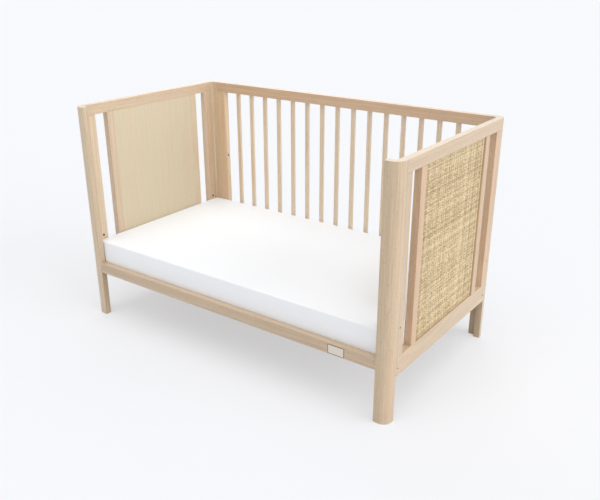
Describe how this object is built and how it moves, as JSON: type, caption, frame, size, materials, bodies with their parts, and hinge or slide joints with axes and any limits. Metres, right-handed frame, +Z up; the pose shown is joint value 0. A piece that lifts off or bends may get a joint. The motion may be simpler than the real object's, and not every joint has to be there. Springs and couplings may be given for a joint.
{
  "type": "baby crib",
  "caption": "Convertible wooden baby crib with its front open, rattan panels in both ends, a slatted back, a low front rail and a mattress on a slatted base.",
  "frame": {"origin": "centre of the footprint, on the floor between the four posts' feet", "axes": "+X along the bed to the right end as seen from its open front, +Y from the open front to the slatted back, +Z up"},
  "size_m": [1.38, 0.755, 0.852],
  "materials": {
    "post_wood": "clear matt lacquer on pale beech, grain upright",
    "rail_wood": "clear matt lacquer on pale beech, grain along the rail",
    "stile_wood": "clear matt lacquer on pale beech, grain upright",
    "slat_wood": "clear matt lacquer on pale beech, grain along the slat",
    "veneer": "clear matt lacquer on pale veneer, grain upright",
    "rattan": "natural woven rattan, satin skin",
    "base_wood": "bare planed softwood",
    "bronzed_steel": "dark bronze plate, satin",
    "mattress_cloth": "white knitted cover"
  },
  "bodies": {
    "frame": {"left_front_post": "post_wood", "left_back_post": "post_wood", "left_top_rail": "rail_wood", "left_bottom_rail": "rail_wood", "left_front_outer_stile": "stile_wood", "left_back_outer_stile": "stile_wood", "left_front_inner_stile": "stile_wood", "left_back_inner_stile": "stile_wood", "left_veneer_board": "veneer", "left_rattan_sheet": "rattan", "right_front_post": "post_wood", "right_back_post": "post_wood", "right_top_rail": "rail_wood", "right_bottom_rail": "rail_wood", "right_front_outer_stile": "stile_wood", "right_back_outer_stile": "stile_wood", "right_front_inner_stile": "stile_wood", "right_back_inner_stile": "stile_wood", "right_veneer_board": "veneer", "right_rattan_sheet": "rattan", "back_top_rail": "rail_wood", "back_bottom_rail": "rail_wood", "back_left_stile": "stile_wood", "back_right_stile": "stile_wood", "back_slat_1": "slat_wood", "back_slat_2": "slat_wood", "back_slat_3": "slat_wood", "back_slat_4": "slat_wood", "back_slat_5": "slat_wood", "back_slat_6": "slat_wood", "back_slat_7": "slat_wood", "back_slat_8": "slat_wood", "back_slat_9": "slat_wood", "back_slat_10": "slat_wood", "back_slat_11": "slat_wood", "back_slat_12": "slat_wood", "back_slat_13": "slat_wood", "back_slat_14": "slat_wood", "back_slat_15": "slat_wood", "front_rail": "rail_wood", "base_bolts": "bronzed_steel", "panel_bolts": "bronzed_steel", "threaded_inserts": "bronzed_steel", "front_cams": "bronzed_steel", "front_cam_bolts": "bronzed_steel"},
    "base": {"base_left_rail": "base_wood", "base_right_rail": "base_wood", "base_front_bearer": "base_wood", "base_back_bearer": "base_wood", "base_slat_1": "base_wood", "base_slat_2": "base_wood", "base_slat_3": "base_wood", "base_slat_4": "base_wood", "base_slat_5": "base_wood", "base_slat_6": "base_wood", "base_slat_7": "base_wood", "base_slat_8": "base_wood", "base_slat_9": "base_wood"},
    "mattress": {"mattress": "mattress_cloth"}
  },
  "joints": [
    {"name": "base_height", "type": "slide", "parent": "frame", "child": "base", "axis": [0, 0, 1], "range_m": [0, 0.142]},
    {"name": "mattress_lift", "type": "slide", "parent": "base", "child": "mattress", "axis": [0, 0, 1], "range_m": [0, 0.65]}
  ]
}
